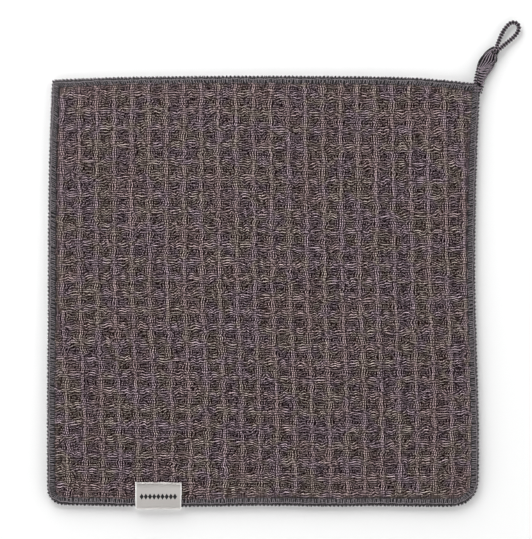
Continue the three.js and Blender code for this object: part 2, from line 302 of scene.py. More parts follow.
# How far inside the outline each point lies, and the way out of the cloth there.
def insetOf(x, y):
    points = np.stack([np.ravel(x), np.ravel(y)], axis=1)
    nearest = np.full(len(points), np.inf)
    inside = np.zeros(len(points))
    outward = np.zeros((len(points), 2))
    for start, end in zip(rim, np.roll(rim, -1, axis=0)):
        edge = end - start
        along = np.clip((points - start) @ edge / (edge @ edge), 0, 1)
        away = points - (start + along[:, None] * edge)
        distance = np.hypot(away[:, 0], away[:, 1])
        closer = distance < nearest
        nearest[closer] = distance[closer]
        normal = np.array([edge[1], -edge[0]]) / np.hypot(*edge)
        inside[closer] = -np.sign(away[closer] @ normal)
        outward[closer] = normal
    return (nearest * inside).reshape(np.shape(x)), outward


# The label, a narrow tape folded over the lower edge: the cloth and its edging lie between its two legs.
label = {
    "middle": -72.9,
    "width": 32,
    "thickness": 0.6,
    "foldY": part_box("label")[0].y / mm,
    "tipY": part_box("label")[1].y / mm,
    "top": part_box("label")[1].z / mm,
    "beyond": 1.4,  # how far its fold stands out past the cloth
    "sewnUnder": 2.5,
    "sewnLength": 3,
    "pastEdging": 0.6,  # its legs draw together from here on
    "pocket": 0.9,
    "slack": 0.12,
    "clearance": 0.3,  # how far beside it the cloth still lies low
    "steps": 68,
    "stepAcross": 0.7,
    "selvedge": 0.8,  # width of the woven edge at each side
    "selvedgeRise": 0.16,
    "selvedgeRound": 0.3,
    "skew": 0.4,  # its right corner lies this much lower than its middle
    "skewFrom": 10,  # and all of that from this far past the fold
    "wave": 0.09,
    "waves": [(5.1, 3.7, 0), (8.3, -6.1, 2)],  # millimetres to a radian across and along, and the start
    "waveRoom": 0.14,  # it is this much thinner, to leave room for them
    "sideWave": (0.12, 4.3),  # how far, and the millimetres to a radian
    "edgeWave": (0.1, 3.4),
    "motifMiddle": -143.2,
}
label["drawnIn"] = label["foldY"] + label["beyond"] + edging["width"] + label["pastEdging"]


def underLabel(x, y):
    beside = np.abs(x - label["middle"]) < label["width"] / 2 + label["clearance"]
    return beside & (y < label["tipY"] + label["clearance"])


# The room between the label's two legs: the highest and lowest that anything there may lie.
def pressUnderLabel(points):
    x, y, z = points[:, 0], points[:, 1], points[:, 2]
    fall = ramp(y, (label["drawnIn"], label["tipY"] - label["sewnLength"]))
    ceiling = (label["top"] - label["thickness"]) * (1 - fall) + label["sewnUnder"] * fall - label["slack"]
    pressed = points.copy()
    pressed[:, 2] = np.where(underLabel(x, y), np.clip(z, label["pocket"], ceiling), z)
    return pressed


# Materials

def colour(hexValue):
    channels = [int(hexValue[i:i + 2], 16) / 255 for i in (1, 3, 5)]
    return [c / 12.92 if c <= 0.04045 else ((c + 0.055) / 1.055) ** 2.4 for c in channels] + [1]


# A colour Mix node has its two colours at inputs 6 and 7 and their mix at output 2.
def addNode(material, kind, values=None, links=None, **settings):
    node = material.node_tree.nodes.new(kind)
    for name, value in settings.items():
        setattr(node, name, value)
    for socket, value in (values or {}).items():
        node.inputs[socket].default_value = value
    for socket, source in (links or {}).items():
        material.node_tree.links.new(source, node.inputs[socket])
    return node


def newMaterial(name, roughness, sheen, sheenRoughness):
    material = bpy.data.materials.new(name)
    material.use_nodes = True
    shader = material.node_tree.nodes["Principled BSDF"]
    shader.inputs["Roughness"].default_value = roughness
    shader.inputs["Sheen Weight"].default_value = sheen
    shader.inputs["Sheen Roughness"].default_value = sheenRoughness
    shader.inputs["Specular IOR Level"].default_value = 0.25
    return material, shader


# A material's last steps: its colour, and a fine relief of a depth in millimetres
def finishMaterial(material, shader, base, relief, strength, depth):
    bump = addNode(material, "ShaderNodeBump", {"Strength": strength, "Distance": depth * mm},
                   {"Height": relief})
    material.node_tree.links.new(base.outputs[2], shader.inputs["Base Color"])
    material.node_tree.links.new(bump.outputs["Normal"], shader.inputs["Normal"])
    return material


# Split polyester and polyamide yarn, spun-dyed grey-brown: matt and fuzzy. Its two dark colours are painted
# shade, mixed in where a yarn lies deep and between yarns; the others are its own colours, which vary at
# random.
microfibre = {
    "plumPaintedShade": "#2a141f",
    "plum": "#dcc7d2",
    "brownPaintedShade": "#2f1912",
    "brown": "#dbcdc3",
    "rose": "#e3caca",
    "mottle": 13.0,
    "lines": 1.6,  # from one curled line of filaments to the next
    "swirl": 7,
    "fibre": 0.16,
    "fuzz": "#cdb0b3",  # what the fuzz shows at a low angle
}


def clothMaterial(name, settings, gain, direction):
    material, shader = newMaterial(name, 0.92, 0.2, 0.5)
    shader.inputs["Sheen Tint"].default_value = colour(settings["fuzz"])
    shader.inputs["Specular IOR Level"].default_value = 0.06
    place = addNode(material, "ShaderNodeTexCoord").outputs["Object"]
    paintedLight = addNode(material, "ShaderNodeAttribute", attribute_name="paintedLight").outputs["Fac"]
    mottle = addNode(material, "ShaderNodeTexNoise", {"Scale": 1 / (settings["mottle"] * mm), "Detail": 2},
                     {"Vector": place})
    drift = addNode(material, "ShaderNodeTexNoise", {"Scale": 0.6 / (settings["mottle"] * mm), "Detail": 2},
                    {"Vector": place})
    tone = addNode(material, "ShaderNodeMapRange", {"From Min": 0.43, "From Max": 0.57},
                   {"Value": mottle.outputs["Fac"]})
    blush = addNode(material, "ShaderNodeMapRange", {"From Min": 0.48, "From Max": 0.62},
                    {"Value": drift.outputs["Fac"]})
    # the dark colour is painted shade and the light one the yarn's own; the painted light attribute and the
    # filament lines choose between them
    paintedShadeColour = addNode(material, "ShaderNodeMix",
                   {6: colour(settings["plumPaintedShade"]), 7: colour(settings["brownPaintedShade"])},
                   {"Factor": tone.outputs["Result"]}, data_type="RGBA")
    cool = addNode(material, "ShaderNodeMix", {6: colour(settings["plum"]), 7: colour(settings["brown"])},
                   {"Factor": tone.outputs["Result"]}, data_type="RGBA")
    high = addNode(material, "ShaderNodeMix", {7: colour(settings["rose"])},
                   {"Factor": blush.outputs["Result"], 6: cool.outputs[2]}, data_type="RGBA")
    # a wave node's bands are a twentieth of a turn apart
    lines = addNode(material, "ShaderNodeTexWave",
                    {"Scale": math.pi / 10 / (settings["lines"] * mm), "Distortion": settings["swirl"],
                     "Detail": 1, "Detail Scale": 1}, {"Vector": place}, bands_direction=direction)
    speck = addNode(material, "ShaderNodeMapRange",
                    {"From Min": 0.1, "From Max": 0.9, "To Min": -gain, "To Max": gain},
                    {"Value": lines.outputs["Fac"]})
    level = addNode(material, "ShaderNodeMath", None,
                    {0: paintedLight, 1: speck.outputs["Result"]}, operation="ADD", use_clamp=True)
    base = addNode(material, "ShaderNodeMix", None,
                   {"Factor": level.outputs[0], 6: paintedShadeColour.outputs[2], 7: high.outputs[2]}, data_type="RGBA")
    fibre = addNode(material, "ShaderNodeTexNoise", {"Scale": 1 / (settings["fibre"] * mm), "Detail": 2},
                    {"Vector": place})
    return finishMaterial(material, shader, base, fibre.outputs["Fac"], 0.6, 0.12)


# Textured polyester overlock thread: loose filaments, matt with a faint sheen. Its dark colour is painted
# shade, which the painted light attribute and a fine grain mix into its light colour.
def threadMaterial(name, light, dark, grainSize):
    material, shader = newMaterial(name, 0.85, 0.08, 0.4)
    place = addNode(material, "ShaderNodeTexCoord").outputs["Object"]
    depth = addNode(material, "ShaderNodeAttribute", attribute_name="paintedLight").outputs["Fac"]
    grain = addNode(material, "ShaderNodeTexNoise", {"Scale": 1 / (grainSize * mm), "Detail": 3},
                    {"Vector": place})
    speck = addNode(material, "ShaderNodeMapRange",
                    {"From Min": 0.35, "From Max": 0.65, "To Min": 0.55, "To Max": 1.25},
                    {"Value": grain.outputs["Fac"]})
    level = addNode(material, "ShaderNodeMath", None,
                    {0: depth, 1: speck.outputs["Result"]}, operation="MULTIPLY", use_clamp=True)
    base = addNode(material, "ShaderNodeMix", {6: colour(dark), 7: colour(light)},
                   {"Factor": level.outputs[0]}, data_type="RGBA")
    return finishMaterial(material, shader, base, grain.outputs["Fac"], 0.5, 0.1)


# Polyester tape woven as satin: smooth and off-white, with a faint lustre, fine ribs across it and a plain
# motif of small diamonds in charcoal yarn.
tape = {
    "ground": "#b7b3b0",
    "selvedge": "#dad8d6",
    "motif": "#1b1b1c",
    "rib": 0.8,  # drawn coarser than the real 0.25 mm, which is too fine to show
    "diamondWidth": 2.9,
    "diamondHeight": 4.2,
    "diamonds": 9,
}


def labelMaterial(name):
    material, shader = newMaterial(name, 0.55, 0.15, 0.4)
    place = addNode(material, "ShaderNodeTexCoord").outputs["Object"]
    ribs = addNode(material, "ShaderNodeTexWave",
                   {"Scale": 1 / (tape["rib"] * mm) / math.pi, "Distortion": 0.6, "Detail": 2},
                   {"Vector": place}, bands_direction="Y")
    side = addNode(material, "ShaderNodeAttribute", attribute_name="side").outputs["Fac"]
    inner = label["width"] / 2 - label["selvedge"]
    selvedge = addNode(material, "ShaderNodeMapRange", {"From Min": inner - 0.1, "From Max": inner + 0.1},
                       {"Value": side})
    base = addNode(material, "ShaderNodeMix", {6: colour(tape["ground"]), 7: colour(tape["selvedge"])},
                   {"Factor": selvedge.outputs["Result"]}, data_type="RGBA")
    woven = addNode(material, "ShaderNodeMix", {7: colour(tape["motif"])},
                    {"Factor": addMotif(material, place), 6: base.outputs[2]}, data_type="RGBA")
    return finishMaterial(material, shader, woven, ribs.outputs["Fac"], 0.5, 0.08)


# The motif, a row of diamonds: 1 on them and 0 beside them and on the leg underneath. Each step of the sum
# has its name, what it does and what it takes, which is an earlier step's result or a number.
def addMotif(material, place):
    axes = addNode(material, "ShaderNodeSeparateXYZ", None, {"Vector": place}).outputs
    found = {"x": axes["X"], "y": axes["Y"], "z": axes["Z"]}
    width, height = tape["diamondWidth"] * mm, tape["diamondHeight"] * mm
    steps = [
        ("fromMiddle", "SUBTRACT", "x", label["middle"] * mm),
        ("diamonds", "DIVIDE", "fromMiddle", width),
        ("half on", "ADD", "diamonds", 0.5),
        ("share", "FRACT", "half on"),
        ("off centre", "SUBTRACT", "share", 0.5),
        ("along", "ABSOLUTE", "off centre"),
        ("above", "SUBTRACT", "y", label["motifMiddle"] * mm),
        ("heights", "DIVIDE", "above", height),
        ("up", "ABSOLUTE", "heights"),
        ("away", "ADD", "along", "up"),
        ("inside", "LESS_THAN", "away", 0.5),
        ("aside", "ABSOLUTE", "fromMiddle"),
        ("in row", "LESS_THAN", "aside", tape["diamonds"] / 2 * width),
        ("on top", "GREATER_THAN", "z", label["top"] / 2 * mm),
        ("in both", "MULTIPLY", "inside", "in row"),
        ("motif", "MULTIPLY", "in both", "on top"),
    ]
    for name, operation, *taken in steps:
        links = {i: found[value] for i, value in enumerate(taken) if value in found}
        values = {i: value for i, value in enumerate(taken) if value not in found}
        found[name] = addNode(material, "ShaderNodeMath", values, links, operation=operation).outputs[0]
    return found["motif"]


# The woven sheet

sheet = {
    "steps": 6,  # mesh steps to a cell
    "thickness": 0.85,
    "yarn": 0.32,  # how far the yarns stand out of it
    "rawEdge": 1.1,  # inset of its cut edge inside the overlock
    "edgeStep": 0.4,  # points that lie closer on the cut edge are made one
    "marginHeight": 2.0,  # of the flattened margin under the overlock
    "marginRise": (6.6, 8.2),  # insets between which the weave rises from it
    "yarnsFrom": 5.3,  # the least mean inset of a yarn
    "yarnsEnd": 4.9,  # and the inset at which it ends
    # Painted light on the sheet: on its face nearly all painted shade, as it shows only between the yarns, on
    # its back by height, and a little lighter in the margin.
    "faceShade": 0.14,
    "backShade": 0.8,
    "marginShade": 0.25,
    "marginFade": (9, 7),
    "hidden": 4,  # inset up to which the overlock hides it, and up to which it is painted black as shade
}


def sheetHeight(column, row, x, y, inset):
    relief = weaveHeight(column, row, x, y)
    risen = ease(ramp(inset, sheet["marginRise"]))
    return sheet["marginHeight"] + (relief - sheet["marginHeight"]) * risen, relief


def makeSheet():
    bm = bmesh.new()
    columns, rows = weave["columns"] + 2, weave["rows"] + 2
    bmesh.ops.create_grid(bm, x_segments=columns * sheet["steps"], y_segments=rows * sheet["steps"], size=0.5)
    piece = newObject("waffle_sheet", bm)
    flat = readPoints(piece)
    column = (flat[:, 0] + 0.5) * columns - 1.5
    row = (0.5 - flat[:, 1]) * rows - 1.5
    x, y = latticePlace(column, row)
    inset, _ = insetOf(x, y)
    height, _ = sheetHeight(column, row, x, y, inset)
    writePoints(piece, np.stack([x, y, height - sheet["yarn"]], axis=1))
    # it is trimmed, and the trimmed edge is drawn onto the outline
    bm = bmesh.new()
    bm.from_mesh(piece.data)
    bm.verts.ensure_lookup_table()
    outside = inset < sheet["rawEdge"] - weave["pitchAcross"] / sheet["steps"] / 3
    bmesh.ops.delete(bm, geom=[bm.verts[i] for i in np.flatnonzero(outside)], context="VERTS")
    bmesh.ops.delete(bm, geom=[v for v in bm.verts if not v.link_faces], context="VERTS")
    edgePoints = [v for v in bm.verts if v.is_boundary]
    inset, outward = insetOf(np.array([v.co.x for v in edgePoints]), np.array([v.co.y for v in edgePoints]))
    for vert, depth, way in zip(edgePoints, inset, outward):
        vert.co.xy += Vector(way) * (depth - sheet["rawEdge"])
    bmesh.ops.remove_doubles(bm, verts=edgePoints, dist=sheet["edgeStep"])
    bm.to_mesh(piece.data)
    bm.free()
    facePoints = len(piece.data.vertices)
    solid = piece.modifiers.new("thickness", "SOLIDIFY")
    solid.thickness = sheet["thickness"]
    solid.offset = -1
    applyModifiers(piece)
    points = pressUnderLabel(readPoints(piece))
    # painted light: face and back by height, lighter in the margin, black as shade under the overlock
    face = paintedLightByHeight(points[:, 2]) * sheet["faceShade"]
    back = paintedLightByHeight(weave["crossing"] - points[:, 2]) * sheet["backShade"]
    paintedLight = np.where(np.arange(len(points)) < facePoints, face, back)
    inset, _ = insetOf(points[:, 0], points[:, 1])
    paintedLight = np.maximum(paintedLight, sheet["marginShade"] * ramp(inset, sheet["marginFade"]))
    return finishPiece(piece, points, np.where(inset < sheet["hidden"], 0, paintedLight))


# The floats: the yarns that lie free. Each ridge's weft floats fill the upper and lower part of the cells
# beside it and its warp floats the left and right part, the shorter the nearer they lie to the pit. The
# first of these dictionaries holds for both.

floats = {
    "steps": 8,
    "taper": 0.3,
    "endStray": 0.3,
    "heightStray": 0.08,
    "clear": 0.1,  # how much higher they lie than the lift of their own kind
}
weftFloats = {
    "pieces": {"weft_ridge_floats": [-0.5, 0.5, -1.5, 1.5], "weft_side_floats": [-2.5, 2.5, 3.25]},
    "upright": False,
    "spacing": 1.8,  # between neighbours half way between two crossings
    "bunch": 0.62,  # the share of it that is left at the ends
    "reach": 0.5,  # half length of the middle ones, as a share of the pitch
    "shorten": 0.12,  # and how much shorter they get with each place
    "halfWidth": 0.48,
    "halfHeight": 0.42,
    "lift": 0.3,
    "dive": 0.45,
    "ripple": 0.56,  # how far neighbouring yarns snake together
    "stray": 0.11,  # and each on its own
    "shade": 0.14,  # how much lighter the middle ones are, as painted light on the ridge
    "fade": 0.05,  # and how much they darken with each place, as painted shade down the slope to the pit
}
warpFloats = {
    "pieces": {"warp_ridge_floats": [-0.4, 0.4], "warp_side_floats": [-1.4, 1.4, -2.4, 2.4, 3.3]},
    "upright": True,
    "spacing": 1.78,
    "bunch": 0.42,
    "reach": 0.53,
    "shorten": 0.12,
    "halfWidth": 0.46,
    "halfHeight": 0.4,
    "lift": 0.6,
    "dive": -0.5,
    "ripple": 0.42,
    "stray": 0.11,
    "shade": 0.14,
    "fade": 0.2,
}
# Short curls of loose filaments that stand out between the floats, in any direction.
curls = {
    "toCell": 3,
    "steps": 6,
    "length": 3.6,
    "lengths": (0.7, 1.3),  # the shortest and the longest, as shares of that
    "bend": 1.6,  # radians that one turns through
    "halfWidth": 0.36,
    "halfHeight": 0.34,
    "taper": 1.2,
    "rise": 0.3,
    "heightStray": 0.1,
    "dive": 1.4,
}
# Painted light on the yarns: its level in a pit and on a crossing, painted shade where it dives under the
# others and down its sides, and a random tone.
yarnShade = {
    "pit": 0.59,
    "paintedLight": 0.51,
    "ends": 0.28,  # how much a yarn darkens where it dives under the others, as painted shade
    "tone": 0.06,  # how much one yarn differs from the next
    "underside": 0.14,  # the share of its brightness that a yarn keeps where it dips beside its neighbour, under painted shade
}
# A ripple runs along the yarns and changes only slowly across them, so that they keep their distance.
rippleWaves = drawWaves(6, (0.8, 0.08), (1.8, 0.5))


# A yarn is painted bright along its top and dark where it dips between its neighbours: painted light and
# shade.
def paintedYarnLight(straight, relief, shade, owner):
    tone = chance.normal(0, yarnShade["tone"], len(shade)) + shade
    level = yarnShade["pit"] + (yarnShade["paintedLight"] - yarnShade["pit"]) * paintedLightByHeight(relief) + tone[owner]
    level = level - yarnShade["ends"] * np.abs(2 * straight[:, 2] / straight[:, 2].max() - 1) ** 3
    topness = ramp(straight[:, 1], (-0.5, 1))
    return np.clip(level, 0, 1) * (yarnShade["underside"] + (1 - yarnShade["underside"]) * topness)


def layFloats(yarn, name):
    pitch, beside = weave["pitchAcross"], weave["pitchUp"]
    columns, rows = weave["columns"] + 1, weave["rows"] + 2
    if yarn["upright"]:
        pitch, beside = beside, pitch
        columns, rows = weave["rows"] + 1, weave["columns"] + 2
    places = np.array(yarn["pieces"][name])
    t = np.linspace(-1, 1, floats["steps"])
    # one cell's yarns, and then every cell's, each moved and bowed by draws of its own
    cells = columns * rows
    threads = cells * len(places)
    place = np.tile(places, cells)[:, None]
    cell = np.repeat(np.arange(cells), len(places))[:, None]
    draws = chance.normal(0, 1, (threads, 5, 1)).clip(-2, 2)
    reach = yarn["reach"] - yarn["shorten"] * (np.abs(place) - 0.5)
    spread = yarn["bunch"] + (1 - yarn["bunch"]) * np.cos(math.pi * t / 2)
    stray = yarn["stray"] * (draws[:, 1] + draws[:, 2] * np.cos(math.pi * t / 2))
    ahead = (cell % columns - 0.5) * pitch + t * pitch * reach + floats["endStray"] * draws[:, 0]
    aside = (cell // columns - 1) * beside + place * yarn["spacing"] * spread + stray
    way = int(yarn["upright"])
    aside = aside + yarn["ripple"] * sumWaves(rippleWaves[way], ahead, aside)
    rise = yarn["lift"] - (yarn["lift"] + yarn["dive"]) * np.abs(t) ** 3 + floats["heightStray"] * draws[:, 3]
    column, row = ahead / pitch, aside / beside
    if yarn["upright"]:
        column, row = row, column
    taper = 1 - floats["taper"] * t ** 2
    # painted light and shade: the middle yarns of a ridge lighter, the outer ones darker
    shade = yarn["shade"] - yarn["fade"] * (np.abs(place[:, 0]) - 0.5)
    sizes = np.outer(taper, [yarn["halfWidth"], yarn["halfHeight"]])
    return layYarns(name, column, row, rise + floats["clear"], sizes, shade)


def layCurls():
    columns, rows = weave["columns"] + 1, weave["rows"] + 1
    threads = columns * rows * curls["toCell"]
    column = chance.uniform(-0.5, columns - 0.5, (threads, 1))
    row = chance.uniform(-0.5, rows - 0.5, (threads, 1))
    t = np.linspace(-0.5, 0.5, curls["steps"])
    heading = chance.uniform(0, 2 * math.pi, (threads, 1))
    heading = heading + curls["bend"] * chance.normal(0, 1, (threads, 1)) * t
    step = curls["length"] / curls["steps"] * chance.uniform(*curls["lengths"], (threads, 1))
    column = column + np.cumsum(np.cos(heading), axis=1) * step / weave["pitchAcross"]
    row = row + np.cumsum(np.sin(heading), axis=1) * step / weave["pitchUp"]
    stray = curls["heightStray"] * chance.normal(0, 1, (threads, 1)).clip(-2, 2)
    rise = curls["rise"] + stray - curls["dive"] * t ** 2
    taper = 1 - curls["taper"] * t ** 2
    sizes = np.outer(taper, [curls["halfWidth"], curls["halfHeight"]])
    return layYarns("curls", column, row, rise, sizes, np.zeros(threads))


# Lays yarns on the sheet along their places in the lattice, and leaves out those under the overlock.
def layYarns(name, column, row, rise, sizes, shade):
    x, y = latticePlace(column, row)
    inset, outward = insetOf(x, y)
    kept = inset.mean(axis=1) > sheet["yarnsFrom"]
    away = outward.reshape(*x.shape, 2)[kept]
    rise = np.broadcast_to(rise, x.shape)
    column, row, x, y, inset, rise = (values[kept] for values in (column, row, x, y, inset, rise))
    height, relief = sheetHeight(column, row, x, y, inset)
    short = np.maximum(sheet["yarnsEnd"] - inset, 0)
    places = [x - away[..., 0] * short, y - away[..., 1] * short, height - sheet["yarn"] + rise]
    piece, points, straight, owner = makeThreads(name, np.stack(places, axis=2), sizes, 3)
    paintedLight = paintedYarnLight(straight, relief[owner, np.round(straight[:, 2]).astype(int)], shade[kept], owner)
    return finishPiece(piece, pressUnderLabel(points), paintedLight)


# The overlock: each stitch is a V of two threads that part from a knot at the rim, over a bed of threads
# that lie close round the raw edge. A twisted thread runs along the rim and ties the knots together.

overlock = {
    "pitch": 2.72,
    "steps": 15,
    "sides": 4,
    "halfWidth": 0.35,
    "halfHeight": 0.37,
    "atRim": 0.7,  # distance between a stitch's two threads at the rim
    "atInnerEnd": 1.75,
    "slant": 0.5,  # how far a stitch leans along the edge, from its inner end to the rim
    "slantWave": 37,  # and the length over which that changes along the edge
    "slantStray": 0.6,
    "rimStray": 0.1,
    "innerStray": 0.25,
    "turned": 1.5,  # the height below which it has turned under the cloth
    "rimDark": (1.4, 2.0),  # insets at which the painted black shade at its knots starts and ends to lighten
    "sideDark": (1.2, 2.4),  # and heights, for the painted shade down the rim and underneath
    "innerDark": (5.9, 5.3),  # insets at which the painted shade at its inner end starts and ends to lighten
    "innerShade": 0.2,
    "valley": 0.1,  # the share of its brightness that a thread keeps beside its neighbour, under painted shade
    "level": 0.85,
    "tone": 0.12,
}
overlockSection = {
    "inset": [5.8, 5.3, 4.1, 2.6, 1.1, 0.42, 0.3, 0.75, 2.2, 4.2, 5.6],
    "z": [2.0, 2.45, 2.66, 2.68, 2.45, 1.9, 1.3, 0.62, 0.4, 0.4, 0.5],
}
# The bed is painted dark as the shade under the stitches, and lighter at the rim where it shows between the
# knots.
overlockBed = {
    "stepsAlong": 440,
    "thickness": 0.16,
    "paintedLight": 0.07,
    "rimPaintedLight": 1.0,  # painted lighter where it shows between the knots
    "rimFrom": (1.5, 1.1),
    "inset": [5.7, 4.9, 4.0, 2.8, 1.7, 0.7, 0.45, 0.9, 2.4, 4.0, 5.6],
    "z": [2.15, 2.38, 2.42, 2.42, 2.3, 1.95, 1.4, 0.85, 0.68, 0.68, 0.75],
}
rimCord = {
    "inset": 2.0,
    "levelInset": 2.7,  # along the upper and lower edges
    "z": 2.75,
    "plies": 2,
    "ply": 0.23,
    "spread": 0.2,
    "twist": 2.7,
    "sways": [(0.2, 1.3), (0.15, 5.1)],  # how far it sways, and the millimetres to a radian
    # painted shade on its underside and painted light on its top
    "dark": 0.25,
    "light": 0.85,
    "steps": 1200,
}


def layOnRim(points):
    x, y = rimPlace(points[:, 0], points[:, 1])
    return pressUnderLabel(np.stack([x, y, points[:, 2]], axis=1))


# 1 along the upper and lower edges and 0 along the sides
def onLevelEdge(along):
    x, y = rimPlace(along, 0)
    return ramp(np.abs(y) - np.abs(x), (-2, 2))


# The rim is painted dark as shade, and wider so along the upper and lower edges.
def rimShade(points):
    inset = points[:, 1] - (rimCord["levelInset"] - rimCord["inset"]) * onLevelEdge(points[:, 0])
    return ramp(points[:, 2], overlock["sideDark"]) * ramp(inset, overlock["rimDark"])


def makeOverlock():
    count = round(rimLength / overlock["pitch"])
    pitch = rimLength / count
    section = np.column_stack([overlockSection["inset"], overlockSection["z"]])
    inset, z = smoothRoute(section, overlock["steps"]).T
    draws = chance.normal(0, 1, (count * 2, 5, 1)).clip(-2, 2)
    stitch = np.repeat(np.arange(count), 2)[:, None]
    side = np.tile([-0.5, 0.5], count)[:, None]
    inwards = inset / edging["width"]
    spread = overlock["atRim"] + (overlock["atInnerEnd"] - overlock["atRim"]) * inwards
    turn = 2 * math.pi * stitch * pitch / overlock["slantWave"]
    swing = np.sin(turn) + overlock["slantStray"] * draws[:, 4]
    lean = overlock["slant"] * swing * inwards * np.where(z > overlock["turned"], 1, -1)
    along = stitch * pitch + side * spread + lean
    along = along + overlock["rimStray"] * draws[:, 0] + overlock["innerStray"] * draws[:, 1] * inwards
    depth = inset + overlock["rimStray"] * draws[:, 2] * (1 - inwards)
    depth = depth + overlock["innerStray"] * draws[:, 3] * inwards
    # laid out straight along the edge first, and then bent round the outline
    flat = np.stack([along, depth, np.broadcast_to(z, along.shape)], axis=2)
    sizes = [overlock["halfHeight"], overlock["halfWidth"]]
    made = makeThreads("overlock_stitches", flat, sizes, overlock["sides"], upward=(1, 0, 0))
    piece, points, straight, owner = made
    # painted shade at the rim and down it, at the inner end and beside the neighbouring thread; the tone
    # differs at random
    inner = np.maximum(ramp(points[:, 1], overlock["innerDark"]), overlock["innerShade"])
    outside = overlock["valley"] + (1 - overlock["valley"]) * np.clip(-straight[:, 0], 0, 1)
    tone = overlock["level"] + overlock["tone"] * draws[owner, 0, 0]
    return finishPiece(piece, layOnRim(points), tone * rimShade(points) * inner * outside)


def makeOverlockBed():
    across = len(overlockBed["inset"]) - 1
    bm = bmesh.new()
    bmesh.ops.create_grid(bm, x_segments=overlockBed["stepsAlong"], y_segments=across, size=0.5)
    piece = newObject("overlock_bed", bm)
    flat = readPoints(piece) + 0.5
    mark = flat[:, 1] * across
    inset, z = (np.interp(mark, np.arange(across + 1), overlockBed[name]) for name in ("inset", "z"))
    lightened = (overlockBed["rimPaintedLight"] - overlockBed["paintedLight"]) * ramp(inset, overlockBed["rimFrom"])
    points = layOnRim(np.stack([flat[:, 0] * rimLength, inset, z], axis=1))
    finishPiece(piece, points, overlockBed["paintedLight"] + lightened)
    # the strip's two ends meet
    bm = bmesh.new()
    bm.from_mesh(piece.data)
    bmesh.ops.remove_doubles(bm, verts=bm.verts, dist=0.001 * mm)
    bm.to_mesh(piece.data)
    bm.free()
    solid = piece.modifiers.new("thickness", "SOLIDIFY")
    solid.thickness = overlockBed["thickness"] * mm
    solid.offset = 0
    return applyModifiers(piece)


def makeRimCord():
    along = np.linspace(0, rimLength, rimCord["steps"])
    sway = sum(far * np.sin(along / length) for far, length in rimCord["sways"])
    inset = rimCord["inset"] + (rimCord["levelInset"] - rimCord["inset"]) * onLevelEdge(along) + sway
    route = np.column_stack([along, inset, np.full(len(along), rimCord["z"])])
    routes = plyRoutes(route, rimCord)
    piece, points, straight, _ = makeThreads("overlock_cord", routes, [rimCord["ply"]] * 2, 4)
    # painted light on its top, painted shade on its underside
    lit = (rimCord["light"] - rimCord["dark"]) * np.clip(straight[:, 1], 0, 1)
    return finishPiece(piece, layOnRim(points), rimCord["dark"] + lit)


# The loop: its shank is a run of overlocking that goes on past the corner, with a chain up its left side,
# rungs that fan out at its right and long threads round its upper half. Its eye is a chain, turned back.

shankSlices = {
    "y": [138, 141, 144.5, 147.3, 151.5, 155.5, 160, 164, 166.5, 168.3, 169.6, 171],
    "left": [147, 147, 147, 147.3, 148.2, 149.2, 150.7, 153.3, 155.8, 158.4, 160.9, 162],
    "right": [152.2, 153.1, 154.2, 154.8, 157.3, 160.1, 162.7, 163.4, 164.1, 165, 166.3, 167.4],
}
eyeRoute = [
    (159.6, 166.2), (161.9, 167.9), (163.1, 170.6), (165, 175.4), (167.2, 180.3), (169.7, 184.1),
    (172.3, 186.6), (175.1, 187.4), (177.7, 186.2), (178.6, 183.3), (177.3, 180.1), (174.5, 176.8),
    (170.9, 173.7), (167.4, 170.9), (164.3, 168), (162.4, 165.2),
]
loop = {
    "crown": 3.5,  # the power of the shank's rounded upper face
    "floor": 0.5,  # height of its sides
    "height": 2.3,  # of the middle of its threads
    "rungs": 7,
    "rungFrom": 145.3,
    "rungPitch": 1.73,
    "rungLean": 1.3,  # how far the lowest rung falls on its way out, and the others less and less
    "longThreads": 7,
    "longStray": 0.03,
    "longLift": 0.16,
    "tones": (0.6, 1.1),  # the darkest and the lightest thread
    "sideTone": 0.05,  # the share of its brightness that a thread keeps down its sides, under painted shade
    "unlit": (3, 6),  # heights over all of the loop, for what stays dark: the body and the chain's middle are painted black as the shade between the threads
}
shankBody = {
    "top": 169,
    "steps": 40,
    "z": 1.05,
    "halfHeight": 0.8,
    "narrower": 0.6,  # than the threads round it, at each side
}
loopYarn = {"plies": 2, "ply": 0.23, "spread": 0.18, "twist": 2.4}
chain = {
    "height": 1.3,
    "overWaist": 1.1,  # how much higher the eye's two ends lie
    "overWaistFrom": (9, 4),  # distances from them at which it starts and ends to rise
    "width": 2.8,  # between the middles of a link's legs, at its wide end
    "pitch": 2.05,  # from one link to the next
    "legLength": 0.95,  # as a share of the pitch
    "closing": 0.78,  # the share of the width that a leg draws in by
    "shankShare": 0.85,  # width of the chains on the shank, as a share of the eye's
    "steps": 6,
    "taper": [0.8, 1.2, 1, 0.85, 0.9, 0.7],
    "shades": [0.3, 0.5, 0.06, 0.5, 1.3, 1],  # a grey bead at the side, then a dark dip and a bright middle: painted shade and light along a leg
    # painted shade and light along a leg of the shank's chains
    "shankShades": [0.03, 0.08, 0.05, 0.5, 1.3, 1],
    "halfWidth": 0.46,
    "halfHeight": 0.4,
    "arch": 0.35,
    "core": (1.15, 0.42),  # the half width and half height of the chain's middle, which shows in its gaps, painted black as their shade
}


def shankSides(y):
    return [readColumn(shankSlices, "y", side, y) for side in ("left", "right")]


# A point on the shank: its share of the way across, its distance up and its height over the crown
def shankPlace(share, y, rise=0):
    left, right = shankSides(y)
    arch = np.clip(1 - np.abs(2 * share - 1) ** loop["crown"], 0, 1) ** (1 / loop["crown"])
    z = loop["floor"] + (loop["height"] - loop["floor"]) * arch + rise
    return np.stack([left + (right - left) * share, y, z], axis=1)


def shankRoute(places, count, rise=0):
    across = 8  # a share weighs as much as this many millimetres
    route = smoothRoute([(share * across, y) for share, y in places], count)
    return shankPlace(route[:, 0] / across, route[:, 1], rise)


